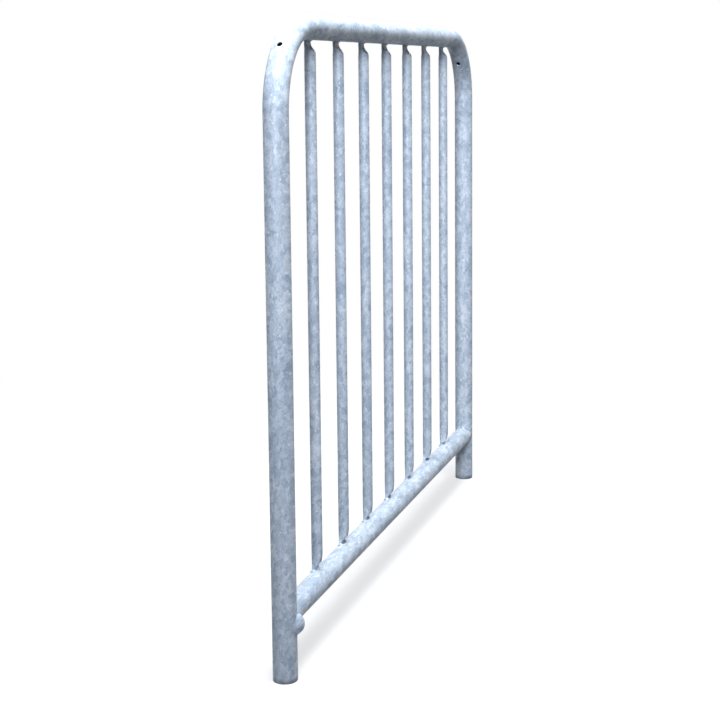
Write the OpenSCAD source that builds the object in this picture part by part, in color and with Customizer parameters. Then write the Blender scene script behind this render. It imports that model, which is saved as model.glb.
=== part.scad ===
// Street barrier: one bent tube hoop standing on two posts, a bottom rail
// between the posts and upright bars with flattened ends welded between the
// bottom rail and the top of the hoop. Hot-dip galvanised steel throughout.
// Origin: centre of the foot of the left post, on the cut face. X runs along
// the barrier to the right post, Y goes to the back, Z is up.

/* [Overall size] */
// overall length, outside of post to outside of post (mm)
overall_l = 1300; // [900:10:2500]
// overall height, foot to the top of the hoop (mm)
overall_h = 1110; // [700:10:1500]

/* [Hoop] */
// outside diameter of the hoop tube (mm)
tube_od = 42.4; // [33.7:0.1:60.3]
// wall thickness of the hoop tube (mm)
tube_wall = 2.6; // [2:0.1:4]
// radius of the two bends, measured on the tube centre line (mm)
bend_r = 140; // [90:5:250]
// diameter of the vent hole drilled through each bend (mm)
vent_d = 10; // [6:1:14]
// angle of the vent holes up from the bend centre (degrees)
vent_angle = 43; // [20:1:70]

/* [Bottom rail] */
// height of the bottom rail centre line above the foot (mm)
rail_z = 110; // [80:5:400]
// outside diameter of the bottom rail (mm)
rail_od = 42.4; // [26.9:0.1:42.4]
// wall thickness of the bottom rail (mm)
rail_wall = 2.6; // [2:0.1:4]

/* [Upright bars] */
// number of upright bars
bar_count = 7; // [7:1:7]
// outside diameter of the upright bars (mm)
bar_od = 20; // [16:0.5:30]
// wall thickness of the upright bars (mm)
bar_wall = 2; // [1.5:0.1:3]
// space from centre to centre of the upright bars (mm)
bar_pitch = 150; // [90:5:300]
// how far the upright bars stand behind the centre plane of the hoop (mm)
bar_back = 5; // [0:0.5:8]
// length of the flattened end at the top of each bar (mm)
top_pinch_l = 30; // [15:1:60]
// length of the flattened end at the bottom of each bar (mm)
bottom_pinch_l = 45; // [15:1:80]
// thickness of a bar end where it is pressed flat (mm)
pinch_t = 5; // [4:0.5:8]
// width of a bar end where it is pressed flat (mm)
pinch_w = 22; // [18:1:30]
// how far a flattened end lies behind the centre line of its bar (mm)
pinch_back = 4.5; // [0:0.5:5]

/* [Welds] */
// leg of the weld between the bottom rail and each post (mm)
rail_weld = 5; // [3:0.5:8]
// leg of the weld round each bar end (mm)
bar_weld = 3; // [2:0.5:5]
// radius of the swelling on the front of the left rail joint (mm)
swell_r = 21.5; // [18:0.5:26]
// how far the centre of the swelling lies in front of the post centre (mm)
swell_y = 12; // [4:1:20]
// how far the centre of the swelling lies below the rail centre line (mm)
swell_drop = 14; // [0:1:20]

/* [Hidden] */
$fn = 96;
eps = 0.01;
tube_r = tube_od / 2;
rail_r = rail_od / 2;
bar_r = bar_od / 2;
post_x = overall_l - tube_od;          // centre of the right post
top_z = overall_h - tube_r;            // centre line of the top rail
bar_x0 = post_x / 2 - bar_pitch * (bar_count - 1) / 2;
tongue_y = bar_back + pinch_back;      // where the flattened ends meet the tubes
// height of the rail surface under or over a flattened end
function seat(r, y) = sqrt(r * r - y * y);
bar_z0 = rail_z + seat(rail_r, tongue_y);
bar_z1 = top_z - seat(tube_r, tongue_y);

// the hoop path swept with a round section of radius r
module hoop_sweep(r, over = 0) {
    translate([0, 0, -over]) cylinder(h = top_z - bend_r + over, r = r);
    translate([post_x, 0, -over]) cylinder(h = top_z - bend_r + over, r = r);
    translate([bend_r, 0, top_z]) rotate([0, 90, 0])
        cylinder(h = post_x - 2 * bend_r, r = r);
    translate([bend_r, 0, top_z - bend_r]) rotate([90, 0, 0]) rotate([0, 0, 90])
        rotate_extrude(angle = 90) translate([bend_r, 0]) circle(r = r);
    translate([post_x - bend_r, 0, top_z - bend_r]) rotate([90, 0, 0])
        rotate_extrude(angle = 90) translate([bend_r, 0]) circle(r = r);
}

// a drill that passes square through the middle of a bend
module vent(x, turn) {
    translate([x, 0, top_z - bend_r]) rotate([0, turn, 0])
        translate([0, 0, bend_r - tube_od]) cylinder(h = 2 * tube_od, d = vent_d, $fn = 48);
}

module hoop() color("#a9b0b5") {
    difference() {
        hoop_sweep(tube_r);
        hoop_sweep(tube_r - tube_wall, 1);
        vent(bend_r, vent_angle - 90);
        vent(post_x - bend_r, 90 - vent_angle);
    }
}

module bottom_rail() color("#b4babf") {
    difference() {
        translate([0, 0, rail_z]) rotate([0, 90, 0]) cylinder(h = post_x, r = rail_r);
        translate([-1, 0, rail_z]) rotate([0, 90, 0])
            cylinder(h = post_x + 2, r = rail_r - rail_wall);
        cylinder(h = 2 * rail_z, r = tube_r);
        translate([post_x, 0, 0]) cylinder(h = 2 * rail_z, r = tube_r);
    }
}

// flattened end of a bar: round below z = 0, a flat tongue at z = l
module pinched_end(l) {
    hull() {
        translate([0, 0, -10]) cylinder(h = 10, r = bar_r, $fn = 32);
        translate([0, 0, 0.75 * l]) tongue(l * 0.25 + 4);
    }
}

module tongue(h) {
    translate([-(pinch_w - pinch_t) / 2, pinch_back, 0]) cylinder(h = h, d = pinch_t, $fn = 32);
    translate([(pinch_w - pinch_t) / 2, pinch_back, 0]) cylinder(h = h, d = pinch_t, $fn = 32);
}

module bar(i) color("#aeb6bc") {
    z0 = bar_z0 + bottom_pinch_l;
    z1 = bar_z1 - top_pinch_l;
    translate([bar_x0 + (i - 1) * bar_pitch, bar_back, 0]) difference() {
        union() {
            translate([0, 0, z0]) hull() cylinder(h = z1 - z0, r = bar_r, $fn = 32);
            translate([0, 0, z1]) pinched_end(top_pinch_l);
            translate([0, 0, z0]) mirror([0, 0, 1]) pinched_end(bottom_pinch_l);
        }
        translate([0, 0, z0]) cylinder(h = z1 - z0, r = bar_r - bar_wall);
        translate([-50, -bar_back, top_z]) rotate([0, 90, 0]) cylinder(h = 100, r = tube_r);
        translate([-50, -bar_back, rail_z]) rotate([0, 90, 0]) cylinder(h = 100, r = rail_r);
    }
}

module bar_1() { bar(1); }
module bar_2() { bar(2); }
module bar_3() { bar(3); }
module bar_4() { bar(4); }
module bar_5() { bar(5); }
module bar_6() { bar(6); }
module bar_7() { bar(7); }

// thin slab that stands out from the tongue by o on every side
module bead_slab(z, o) {
    translate([0, tongue_y, z])
        cube([pinch_w + 2 * o, pinch_t + 2 * o, 0.1], center = true);
}

// weld bead round the tongue of a bar, on the tube of radius r centred at height z
module bar_weld_bead(i, z, r, side) color("#9aa2a8") {
    x = bar_x0 + (i - 1) * bar_pitch;
    s = seat(r, tongue_y);
    translate([x, 0, z]) difference() {
        hull() {
            bead_slab(side * (s - bar_weld), 2 * bar_weld);
            bead_slab(side * (s + bar_weld), 0.3 * bar_weld);
        }
        translate([-50, 0, 0]) rotate([0, 90, 0]) cylinder(h = 100, r = r);
        translate([0, bar_back, side * s - 15]) hull() tongue(30);
    }
}

module bar_top_weld_1() { bar_weld_bead(1, top_z, tube_r, -1); }
module bar_top_weld_2() { bar_weld_bead(2, top_z, tube_r, -1); }
module bar_top_weld_3() { bar_weld_bead(3, top_z, tube_r, -1); }
module bar_top_weld_4() { bar_weld_bead(4, top_z, tube_r, -1); }
module bar_top_weld_5() { bar_weld_bead(5, top_z, tube_r, -1); }
module bar_top_weld_6() { bar_weld_bead(6, top_z, tube_r, -1); }
module bar_top_weld_7() { bar_weld_bead(7, top_z, tube_r, -1); }
module bar_bottom_weld_1() { bar_weld_bead(1, rail_z, rail_r, 1); }
module bar_bottom_weld_2() { bar_weld_bead(2, rail_z, rail_r, 1); }
module bar_bottom_weld_3() { bar_weld_bead(3, rail_z, rail_r, 1); }
module bar_bottom_weld_4() { bar_weld_bead(4, rail_z, rail_r, 1); }
module bar_bottom_weld_5() { bar_weld_bead(5, rail_z, rail_r, 1); }
module bar_bottom_weld_6() { bar_weld_bead(6, rail_z, rail_r, 1); }
module bar_bottom_weld_7() { bar_weld_bead(7, rail_z, rail_r, 1); }

// weld collar where the rail meets a post; side is 1 towards +X
module rail_weld_bead(x, side, swell = false) color("#9aa2a8") {
    difference() {
        union() {
            intersection() {
                translate([x, 0, rail_z]) rotate([0, side * 90, 0])
                    cylinder(h = tube_r + rail_weld, r1 = rail_r + rail_weld, r2 = rail_r + 0.2);
                translate([x, 0, rail_z]) cube([4 * tube_od, tube_od + 2, 2 * tube_od], center = true);
            }
            if (swell) translate([x + 5, -swell_y, rail_z - swell_drop]) sphere(r = swell_r);
        }
        translate([x, 0, 0]) cylinder(h = 2 * rail_z, r = tube_r);
        translate([0, 0, rail_z]) rotate([0, 90, 0]) cylinder(h = post_x, r = rail_r);
    }
}

module rail_weld_left() { rail_weld_bead(0, 1, true); }
module rail_weld_right() { rail_weld_bead(post_x, -1); }

hoop();
bottom_rail();
bar_1();
bar_2();
bar_3();
bar_4();
bar_5();
bar_6();
bar_7();
bar_top_weld_1();
bar_top_weld_2();
bar_top_weld_3();
bar_top_weld_4();
bar_top_weld_5();
bar_top_weld_6();
bar_top_weld_7();
bar_bottom_weld_1();
bar_bottom_weld_2();
bar_bottom_weld_3();
bar_bottom_weld_4();
bar_bottom_weld_5();
bar_bottom_weld_6();
bar_bottom_weld_7();
rail_weld_left();
rail_weld_right();
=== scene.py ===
import math
import bpy, bmesh
from mathutils import Matrix, Vector, noise


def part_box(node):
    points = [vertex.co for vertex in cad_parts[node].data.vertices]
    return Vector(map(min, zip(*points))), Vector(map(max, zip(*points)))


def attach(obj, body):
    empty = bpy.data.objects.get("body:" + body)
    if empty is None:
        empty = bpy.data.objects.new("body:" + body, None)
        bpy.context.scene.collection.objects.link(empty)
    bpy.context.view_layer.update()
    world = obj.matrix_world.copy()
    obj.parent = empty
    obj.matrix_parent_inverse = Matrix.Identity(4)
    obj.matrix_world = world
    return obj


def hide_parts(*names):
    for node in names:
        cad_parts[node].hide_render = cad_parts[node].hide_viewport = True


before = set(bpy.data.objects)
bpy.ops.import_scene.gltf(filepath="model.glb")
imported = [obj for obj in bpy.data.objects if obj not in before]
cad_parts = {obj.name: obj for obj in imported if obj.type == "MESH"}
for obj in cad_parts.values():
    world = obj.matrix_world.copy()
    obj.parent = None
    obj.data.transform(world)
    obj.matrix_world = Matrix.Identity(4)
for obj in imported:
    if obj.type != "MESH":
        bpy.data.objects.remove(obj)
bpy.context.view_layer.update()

scene = bpy.context.scene

# ---------------------------------------------------------------------------
# Galvanised steel: every piece is welded up in bare steel and then dipped in
# molten zinc, so tubes, bars and welds carry one continuous grey-blue coat.
# It is dull and a little uneven: frosty spangle, soft runs and fine scratches.
# ---------------------------------------------------------------------------
def linear(hexa):
    """An sRGB hex colour such as "b9c4cf" as linear RGBA."""
    srgb = [int(hexa[i:i + 2], 16) / 255 for i in (0, 2, 4)]
    return [c / 12.92 if c <= 0.04045 else ((c + 0.055) / 1.055) ** 2.4 for c in srgb] + [1.0]


def add(tree, kind, settings=None, inputs=None, links=None):
    """Adds a node to a tree, sets its properties and input values, and links its inputs."""
    made = tree.nodes.new(kind)
    for key, value in (settings or {}).items():
        setattr(made, key, value)
    for key, value in (inputs or {}).items():
        made.inputs[key].default_value = value
    for key, socket in (links or {}).items():
        tree.links.new(socket, made.inputs[key])
    return made


def zinc_coat(name, dark, light, matt, shiny):
    """Galvanised steel: its darkest and lightest zinc, and the roughness of each."""
    made = bpy.data.materials.new(name)
    made.use_nodes = True
    t = made.node_tree
    t.nodes.clear()
    place = add(t, "ShaderNodeTexCoord").outputs["Object"]
    # the zinc ran along the tubes as it drained, so patterns are drawn out in the barrier's own plane
    where = add(t, "ShaderNodeMapping", {"vector_type": "POINT"}, {"Scale": (0.38, 1.0, 0.62)},
                {"Vector": place}).outputs["Vector"]
    # spangle: zinc crystals about 6 mm across with ragged edges, each its own shade of grey
    wobble = add(t, "ShaderNodeTexNoise", inputs={"Scale": 190.0, "Detail": 4.0}, links={"Vector": where})
    bent = add(t, "ShaderNodeVectorMath", {"operation": "MULTIPLY_ADD"}, {1: (0.010, 0.010, 0.010)},
               {0: wobble.outputs["Color"], 2: where}).outputs["Vector"]
    spangle = add(t, "ShaderNodeTexVoronoi", {"feature": "SMOOTH_F1"}, {"Scale": 170.0, "Smoothness": 0.25},
                  {"Vector": bent})
    crystal = add(t, "ShaderNodeSeparateColor", links={"Color": spangle.outputs["Color"]}).outputs["Red"]
    # frost: the grain inside the crystals, 2 to 3 mm
    frost = add(t, "ShaderNodeTexNoise", inputs={"Scale": 420.0, "Detail": 5.0, "Roughness": 0.7},
                links={"Vector": where}).outputs["Fac"]
    # clouding: the coat is thicker in soft patches 25 to 65 mm long
    cloud = add(t, "ShaderNodeTexNoise", inputs={"Scale": 40.0, "Detail": 4.0, "Roughness": 0.6},
                links={"Vector": where}).outputs["Fac"]
    coat = add(t, "ShaderNodeMath", {"operation": "MULTIPLY"}, {1: 0.85}, {0: cloud}).outputs[0]
    coat = add(t, "ShaderNodeMath", {"operation": "MULTIPLY_ADD"}, {1: 0.45},
               {0: crystal, 2: coat}).outputs[0]
    coat = add(t, "ShaderNodeMath", {"operation": "MULTIPLY_ADD"}, {1: 1.25},
               {0: frost, 2: coat}).outputs[0]
    shade = add(t, "ShaderNodeMapRange", inputs={"From Min": 0.85, "From Max": 1.70},
                links={"Value": coat}).outputs[0]
    tone = add(t, "ShaderNodeValToRGB", links={"Fac": shade})
    tone.color_ramp.elements[0].color = linear(dark)
    tone.color_ramp.elements[1].color = linear(light)
    # handling marks: hairline scratches and small bright knocks where the frost is rubbed off
    hair = add(t, "ShaderNodeTexVoronoi", {"feature": "DISTANCE_TO_EDGE"}, {"Scale": 55.0},
               {"Vector": bent})
    line = add(t, "ShaderNodeMapRange",
               inputs={"From Min": 0.0, "From Max": 0.04, "To Min": 1.0, "To Max": 0.0},
               links={"Value": hair.outputs["Distance"]}).outputs[0]
    some = add(t, "ShaderNodeMapRange", inputs={"From Min": 0.52, "From Max": 0.60},
               links={"Value": cloud}).outputs[0]
    line = add(t, "ShaderNodeMath", {"operation": "MULTIPLY"}, links={0: line, 1: some}).outputs[0]
    knock = add(t, "ShaderNodeTexVoronoi", inputs={"Scale": 95.0}, links={"Vector": where})
    dot = add(t, "ShaderNodeMapRange",
              inputs={"From Min": 0.10, "From Max": 0.17, "To Min": 1.0, "To Max": 0.0},
              links={"Value": knock.outputs["Distance"]}).outputs[0]
    rubbed = add(t, "ShaderNodeMath", {"operation": "MAXIMUM"}, links={0: line, 1: dot}).outputs[0]
    rubbed = add(t, "ShaderNodeMath", {"operation": "MULTIPLY"}, {1: 0.5}, {0: rubbed}).outputs[0]
    colour = add(t, "ShaderNodeMix", {"data_type": "RGBA"}, {7: linear("f4f8fb")},
                 {0: rubbed, 6: tone.outputs["Color"]})
    rough = add(t, "ShaderNodeMapRange", inputs={"To Min": matt, "To Max": shiny}, links={"Value": shade})
    relief = add(t, "ShaderNodeBump", inputs={"Strength": 0.5, "Distance": 0.0005}, links={"Height": coat})
    bsdf = add(t, "ShaderNodeBsdfPrincipled", inputs={"Metallic": 0.12, "Specular IOR Level": 0.25},
               links={"Base Color": colour.outputs[2], "Roughness": rough.outputs[0],
                      "Normal": relief.outputs["Normal"]})
    add(t, "ShaderNodeOutputMaterial", links={"Surface": bsdf.outputs["BSDF"]})
    return made


# the coat on tubes and bars: dull blue-grey zinc, a little shinier where it is lightest
zinc = zinc_coat("hot_dip_galvanised_steel", "8fa0b3", "d6e0ea", 0.60, 0.42)


def finish_piece(obj, *cad_nodes, coat=None):
    """Smooth shading, a zinc coat, and the CAD nodes that the piece stands for."""
    for p in obj.data.polygons:
        p.use_smooth = True
    obj.data.materials.clear()
    obj.data.materials.append(coat or zinc)
    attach(obj, "root")
    if cad_nodes:
        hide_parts(*cad_nodes)
    return obj


# ---------------------------------------------------------------------------
# Hoop: one length of 42.4 x 2.6 mm steel tube, bent cold twice on a 140 mm
# radius, so that it makes both posts and the top rail. The ends are sawn
# square and left open, and a 10 mm hole through each bend vents the zinc bath.
# ---------------------------------------------------------------------------
TUBE_R, WALL, BEND_R = 0.0212, 0.0026, 0.140
VENT_R, VENT_ANGLE = 0.005, math.radians(43)
DRILL_FROM, DRILL_TO = 0.09, 0.19       # from the bend's centre, so that it passes both walls
ROUND, LENGTHS, ARC = 64, 100, 48       # points round a tube, steps along a straight and a bend
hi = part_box("hoop")[1]
POST_X = hi.x - TUBE_R
TOP_Z = hi.z - TUBE_R
BEND_Z = TOP_Z - BEND_R


def loft(name, rings, closed=False, ends=False):
    """A skin over a row of rings, each a list of points. closed joins the last ring to the first."""
    n = len(rings[0])
    verts = [p for ring in rings for p in ring]
    faces = []
    for i in range(len(rings) - (0 if closed else 1)):
        a, b = i * n, (i + 1) % len(rings) * n
        faces += [(a + k, a + (k + 1) % n, b + (k + 1) % n, b + k) for k in range(n)]
    if ends:
        faces += [tuple(range(n))[::-1], tuple(range(len(verts) - n, len(verts)))]
    mesh = bpy.data.meshes.new(name)
    mesh.from_pydata([tuple(v) for v in verts], [], faces)
    obj = bpy.data.objects.new(name, mesh)
    scene.collection.objects.link(obj)
    bm = bmesh.new()
    bm.from_mesh(mesh)
    bmesh.ops.recalc_face_normals(bm, faces=bm.faces)
    bm.to_mesh(mesh)
    bm.free()
    return obj


def circle(count):
    """Cosine and sine of evenly spaced angles, once round."""
    return [(math.cos(2 * math.pi * k / count), math.sin(2 * math.pi * k / count)) for k in range(count)]


def ring_at(point, direction, radius, count):
    """A circle of points square to the direction, which lies in the barrier's own plane."""
    side = Vector((0, 1, 0))
    out = direction.cross(side)
    return [point + radius * (c * side + s * out) for c, s in circle(count)]


# stations along the tube: (point, direction), from the left foot to the right
stations = [(Vector((0, 0, BEND_Z * i / LENGTHS)), Vector((0, 0, 1))) for i in range(LENGTHS)]
for i in range(ARC):
    a = math.pi / 2 * i / ARC
    stations.append((Vector((BEND_R - BEND_R * math.cos(a), 0, BEND_Z + BEND_R * math.sin(a))),
                     Vector((math.sin(a), 0, math.cos(a)))))
for i in range(LENGTHS):
    stations.append((Vector((BEND_R + (POST_X - 2 * BEND_R) * i / LENGTHS, 0, TOP_Z)), Vector((1, 0, 0))))
for i in range(ARC):
    a = math.pi / 2 * i / ARC
    stations.append((Vector((POST_X - BEND_R + BEND_R * math.sin(a), 0, BEND_Z + BEND_R * math.cos(a))),
                     Vector((math.cos(a), 0, -math.sin(a)))))
for i in range(LENGTHS + 1):
    stations.append((Vector((POST_X, 0, BEND_Z * (1 - i / LENGTHS))), Vector((0, 0, -1))))

skin = [ring_at(p, d, TUBE_R, ROUND) for p, d in stations]
bore = [ring_at(p, d, TUBE_R - WALL, ROUND) for p, d in stations]
hoop = loft("hoop_tube", skin + bore[::-1], closed=True)

for x, turn in ((BEND_R, VENT_ANGLE - math.pi / 2), (POST_X - BEND_R, math.pi / 2 - VENT_ANGLE)):
    aim = Matrix.Translation((x, 0, BEND_Z)) @ Matrix.Rotation(turn, 4, "Y")
    drill = loft("drill", [[aim @ Vector((VENT_R * c, VENT_R * s, z)) for c, s in circle(32)]
                           for z in (DRILL_FROM, DRILL_TO)], ends=True)
    cut = hoop.modifiers.new("vent", "BOOLEAN")
    cut.operation, cut.solver, cut.object = "DIFFERENCE", "EXACT", drill
    bpy.context.view_layer.update()
    done = bpy.data.meshes.new_from_object(hoop.evaluated_get(bpy.context.evaluated_depsgraph_get()))
    hoop.modifiers.clear()
    hoop.data = done
    bpy.data.objects.remove(drill)
finish_piece(hoop, "hoop")

# ---------------------------------------------------------------------------
# Bottom rail: one straight length of the same galvanised steel tube. Its ends
# are notched to sit round the posts, and then welded to them.
# ---------------------------------------------------------------------------
lo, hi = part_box("bottom_rail")
RAIL_Z = (lo.z + hi.z) / 2
RAIL_R = (hi.z - lo.z) / 2
RAIL_WALL = 0.0026
BITE = 0.0006                           # how far a notched end reaches into the post's surface
CLEAR_OF_POST = 0.022                   # from a post's centre to the first plain ring


def rail_ring(x, radius):
    """A ring of the rail; past a post's centre it is pulled back to the post's surface."""
    ring = []
    for c, s in circle(ROUND):
        y, z = radius * c, radius * s
        notch = math.sqrt(max(TUBE_R ** 2 - y * y, 0)) - BITE
        ring.append(Vector((min(max(x, notch), POST_X - notch), y, RAIL_Z + z)))
    return ring


plain = [CLEAR_OF_POST + (POST_X - 2 * CLEAR_OF_POST) * i / 120 for i in range(121)]
spans = [0.0] + plain + [POST_X]
rail = loft("bottom_rail_tube", [rail_ring(x, RAIL_R) for x in spans] +
            [rail_ring(x, RAIL_R - RAIL_WALL) for x in spans[::-1]], closed=True)
finish_piece(rail, "bottom_rail")

# ---------------------------------------------------------------------------
# Upright bars: seven lengths of 20 mm steel tube. Each end is pressed flat in
# a press, which leaves a tongue a little wider than the tube with a creased
# shoulder next to it, set a little to the back.
# ---------------------------------------------------------------------------
BAR_R, BAR_BACK = 0.010, 0.005
PINCH_W, PINCH_T, PINCH_BACK = 0.022, 0.0046, 0.0045
TONGUE_SIDE = (PINCH_W - PINCH_T) / 2   # from the tongue's middle to the centre of its rounded edge
FOOT_L, HEAD_L, SUNK = 0.052, 0.036, 0.003      # pressed lengths, and how far they enter the rails
bar_x = [(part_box(f"bar_{i}")[0].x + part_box(f"bar_{i}")[1].x) / 2 for i in range(1, 8)]


def smooth(u):
    """A soft step from 0 to 1."""
    u = max(0.0, min(1.0, u))
    return u * u * (3 - 2 * u)


def clamp(u):
    """Holds a value between -1 and 1."""
    return max(-1, min(1, u))


def pressed_ring(x, z, pressed):
    """Section of a bar: a circle at pressed 0, the flat tongue at 1. The press bites the faces first."""
    ring = []
    for c, s in circle(64):
        flat = smooth(pressed * 1.35 - 0.35 * abs(c))
        tongue_x = TONGUE_SIDE * clamp(1.6 * c) + PINCH_T / 2 * c
        tongue_y = PINCH_T / 2 * clamp(2.2 * s) + PINCH_BACK
        ring.append(Vector((x + BAR_R * c * (1 - flat) + tongue_x * flat,
                            BAR_BACK + BAR_R * s * (1 - flat) + tongue_y * flat, z)))
    return ring


def seat(radius, y):
    """Height of a tube's surface over its centre line, at y across it."""
    return math.sqrt(radius * radius - y * y)


z_low = RAIL_Z + seat(RAIL_R, BAR_BACK + PINCH_BACK)
z_high = TOP_Z - seat(TUBE_R, BAR_BACK + PINCH_BACK)
foot_top, head_low = z_low - SUNK + FOOT_L, z_high - HEAD_L
for number, x in enumerate(bar_x, 1):
    rings = []
    for i in range(41):
        up = FOOT_L * i / 40
        # the tongue is done within 20 mm, and its long shoulder within 50 mm
        shoulder = 1 - smooth((up - 0.014) / 0.034)
        tongue = 1 - smooth((up - 0.003) / 0.016)
        rings.append(pressed_ring(x, z_low - SUNK + up, 0.34 * shoulder + 0.66 * tongue))
    for i in range(1, 60):
        rings.append(pressed_ring(x, foot_top + (head_low - foot_top) * i / 60, 0))
    for i in range(33):
        down = HEAD_L * (1 - i / 32)
        rings.append(pressed_ring(x, z_high + SUNK - down, 1 - smooth((down - 0.005) / 0.030)))
    finish_piece(loft(f"bar_{number}_tube", rings, ends=True), f"bar_{number}")

# ---------------------------------------------------------------------------
# Bar welds: each tongue is welded all round to the rail above and below with
# a small fillet of steel, whose ripples the zinc has softened.
# ---------------------------------------------------------------------------
FILLET_R, FILLET_RIPPLE = 0.0021, 0.0024
PROUD, LIFTED = 0.0006, 0.0004          # how far the bead's middle stands off the tongue and the rail


def bead(name, path, size, ripple, seed):
    """A closed weld bead along a path of points: a round cord with soft ripples."""
    n, rings, length = len(path), [], 0.0
    for i, p in enumerate(path):
        ahead, behind = path[(i + 1) % n], path[i - 1]
        along = (ahead - behind).normalized()
        side = along.cross(Vector((0, 0, 1)) if abs(along.z) < 0.9 else Vector((1, 0, 0))).normalized()
        lift = side.cross(along)
        length += (p - behind).length
        uneven = 0.22 * noise.noise(p * 160 + Vector((seed, 0, 0)))
        swell = 1 + 0.10 * math.sin(2 * math.pi * length / ripple) + uneven
        rings.append([p + size * swell * (c * side + s * lift) for c, s in circle(12)])
    return loft(name, rings, closed=True)


for number, x in enumerate(bar_x, 1):
    for end, centre_z, radius, sign in (("top", TOP_Z, TUBE_R, -1), ("bottom", RAIL_Z, RAIL_R, 1)):
        path = []
        for c, s in circle(72):
            px = TONGUE_SIDE * clamp(1.9 * c) + (PINCH_T / 2 + PROUD) * c
            py = (PINCH_T / 2 + PROUD) * clamp(2.2 * s) + PINCH_BACK + BAR_BACK
            path.append(Vector((x + px, py, centre_z + sign * (seat(radius, py) + LIFTED))))
        name = f"bar_{end}_weld_{number}"
        finish_piece(bead(name + "_bead", path, FILLET_R, FILLET_RIPPLE, number * 3.7 + sign), name)

# ---------------------------------------------------------------------------
# Rail welds: the notched ends are welded round to the posts in steel. On the
# front of the left post the end of the rail and its weld have swollen into a
# knob, which blends into the post.
# ---------------------------------------------------------------------------
# weld metal takes up the zinc duller and greyer than the tube does; the darker tone on the rail welds is
# also painted shade for the shade at the rail's joints with the posts
weld_zinc_and_painted_shade = zinc_coat("galvanised_weld_metal_and_painted_shade", "7c8997", "a3b0be", 0.70, 0.52)
COLLAR_R, COLLAR_RIPPLE = 0.0034, 0.0042
COLLAR_DEPTH = 0.82                     # the collar is squeezed to this share across the barrier
KNOB_R, KNOB_UP = 0.0184, 0.0195        # the knob's radius, and its centre over the weld's lowest point
BLEND, TUCK = 0.0040, 0.0003            # how softly it meets the post, and how far its rim dips in
UNDER_SKIN = 0.0015                     # its inner face lies this far inside the post's surface
FAR_IN = -0.03                          # stands for "well inside the post" away from the knob

for side, x0 in (("left", 0.0), ("right", POST_X)):
    inward = 1 if side == "left" else -1
    path = []
    for c, s in circle(120):
        y, z = (RAIL_R + 0.0004) * c, (RAIL_R + 0.0004) * s
        reach = math.sqrt(max((TUBE_R + 0.0008) ** 2 - y * y, 1e-8))
        path.append(Vector((x0 + inward * reach, y * COLLAR_DEPTH, RAIL_Z + z)))
    collar = bead(f"rail_weld_{side}_bead", path, COLLAR_R, COLLAR_RIPPLE, 11.0 * inward)
    if side == "left":
        centre = Vector((0.010, -0.013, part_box("rail_weld_left")[0].z + KNOB_UP))
        rings = []
        for i in range(57):
            z = centre.z + KNOB_R * 1.45 * (2 * i / 56 - 1)
            outer, inner = [], []
            for k in range(81):
                a = math.radians(-190 + 245 * k / 80)
                d = Vector((math.cos(a), math.sin(a), 0))
                along = centre.x * d.x + centre.y * d.y
                off = centre.x ** 2 + centre.y ** 2 - along ** 2 + (z - centre.z) ** 2
                gap = along + math.sqrt(max(KNOB_R ** 2 - off, 0)) - TUBE_R if off < KNOB_R ** 2 else FAR_IN
                gap = max(gap, FAR_IN) - max(0.0, off / KNOB_R ** 2 - 0.8) * 0.004
                raised = 0.5 * (gap + math.sqrt(gap * gap + BLEND ** 2)) - TUCK
                outer.append(Vector((0, 0, z)) + d * (TUBE_R + raised))
                inner.append(Vector((0, 0, z)) + d * (TUBE_R - UNDER_SKIN))
            rings.append(outer + inner[::-1])
        finish_piece(loft("rail_swelling", rings, ends=True), "rail_weld_left")
    # the collars take the darker weld coat: greyer weld zinc, and painted shade at the joints
    finish_piece(collar, f"rail_weld_{side}", coat=weld_zinc_and_painted_shade)

# ---------------------------------------------------------------------------
# Studio: a pale seamless floor under a broad soft light from above and a soft
# key from behind the camera. The camera stands near the left post, a little
# lower than the top rail, and looks along the barrier.
# ---------------------------------------------------------------------------
WHITE = (1, 1, 1, 1)


def seen_directly(tree):
    """1 for camera, glossy and transmission rays, so that the metal shows the background too."""
    path = add(tree, "ShaderNodeLightPath")
    first = add(tree, "ShaderNodeMath", {"operation": "MAXIMUM"},
                links={0: path.outputs["Is Camera Ray"], 1: path.outputs["Is Glossy Ray"]})
    return add(tree, "ShaderNodeMath", {"operation": "MAXIMUM"},
               links={0: first.outputs[0], 1: path.outputs["Is Transmission Ray"]}).outputs[0]


floor_mesh = bpy.data.meshes.new("floor")
floor_mesh.from_pydata([(-40, -40, 0), (40, -40, 0), (40, 40, 0), (-40, 40, 0)], [], [(0, 1, 2, 3)])
floor = bpy.data.objects.new("floor", floor_mesh)
scene.collection.objects.link(floor)
# painted studio floor: it keeps a faint shadow near the barrier and fades to white with distance
pale = bpy.data.materials.new("pale_floor")
pale.use_nodes = True
t = pale.node_tree
t.nodes.clear()
dull = add(t, "ShaderNodeBsdfDiffuse", inputs={"Color": linear("202224")})
white = add(t, "ShaderNodeBsdfDiffuse", inputs={"Color": (0.9, 0.9, 0.9, 1)})
lift = add(t, "ShaderNodeEmission", inputs={"Color": WHITE, "Strength": 1.0})
place = add(t, "ShaderNodeTexCoord").outputs["Object"]
away = add(t, "ShaderNodeVectorMath", {"operation": "DISTANCE"}, {1: (0.63, 0.0, 0.0)}, {0: place})
fade = add(t, "ShaderNodeMapRange", {"interpolation_type": "SMOOTHSTEP"},
           {"From Min": 0.9, "From Max": 2.2, "To Min": 0.62, "To Max": 1.0},
           {"Value": away.outputs["Value"]})
bright = add(t, "ShaderNodeMixShader", links={0: fade.outputs[0], 1: white.outputs[0], 2: lift.outputs[0]})
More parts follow.
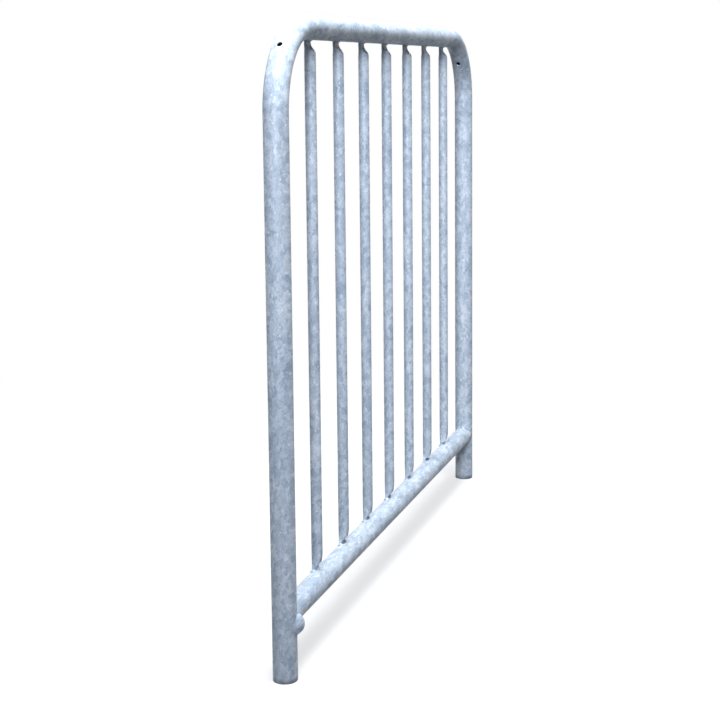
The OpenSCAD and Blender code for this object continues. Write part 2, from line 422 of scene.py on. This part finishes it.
both = add(t, "ShaderNodeMixShader", links={0: seen_directly(t), 1: dull.outputs[0], 2: bright.outputs[0]})
add(t, "ShaderNodeOutputMaterial", links={"Surface": both.outputs[0]})
floor_mesh.materials.append(pale)

world = bpy.data.worlds.new("studio")
scene.world = world
world.use_nodes = True
t = world.node_tree
t.nodes.clear()
ambient = add(t, "ShaderNodeBackground", inputs={"Color": linear("d5e2f5"), "Strength": 0.08})
backdrop = add(t, "ShaderNodeBackground", inputs={"Color": WHITE, "Strength": 1.0})
both = add(t, "ShaderNodeMixShader",
           links={0: seen_directly(t), 1: ambient.outputs[0], 2: backdrop.outputs[0]})
add(t, "ShaderNodeOutputWorld", links={"Surface": both.outputs[0]})

for name, place, aim, size, watts, spread, colour in (
        ("overhead", (-0.1, -0.5, 4.6), (0.5, 0, 0.6), 2.2, 365, 180, "f6f9ff"),
        ("key", (-4.9, -1.2, 2.9), (0.6, 0, 1.05), 1.2, 12.5, 36, "eef4ff")):
    lamp = bpy.data.lights.new(name, "AREA")
    lamp.shape, lamp.size, lamp.energy, lamp.color = "SQUARE", size, watts, linear(colour)[:3]
    lamp.spread = math.radians(spread)
    obj = bpy.data.objects.new(name, lamp)
    scene.collection.objects.link(obj)
    obj.location = place
    obj.rotation_mode = "QUATERNION"
    obj.rotation_quaternion = (Vector(aim) - Vector(place)).to_track_quat("-Z", "Y")

# a fairly long lens, shifted down so that the posts stay nearly upright
cam = bpy.data.cameras.new("camera")
camera = bpy.data.objects.new("camera", cam)
scene.collection.objects.link(camera)
cam.sensor_width, cam.lens, cam.shift_y = 36, 71.25, -0.15
yaw, pitch, roll = math.radians(72.02), math.radians(-7.18), math.radians(-0.58)
look = Vector((math.sin(yaw) * math.cos(pitch), math.cos(yaw) * math.cos(pitch), math.sin(pitch)))
camera.rotation_mode = "QUATERNION"
camera.rotation_quaternion = look.to_track_quat("-Z", "Y") @ Matrix.Rotation(roll, 3, "Z").to_quaternion()
camera.location = (-2.137, -0.833, 1.012)
scene.camera = camera
scene.view_settings.view_transform = "Standard"
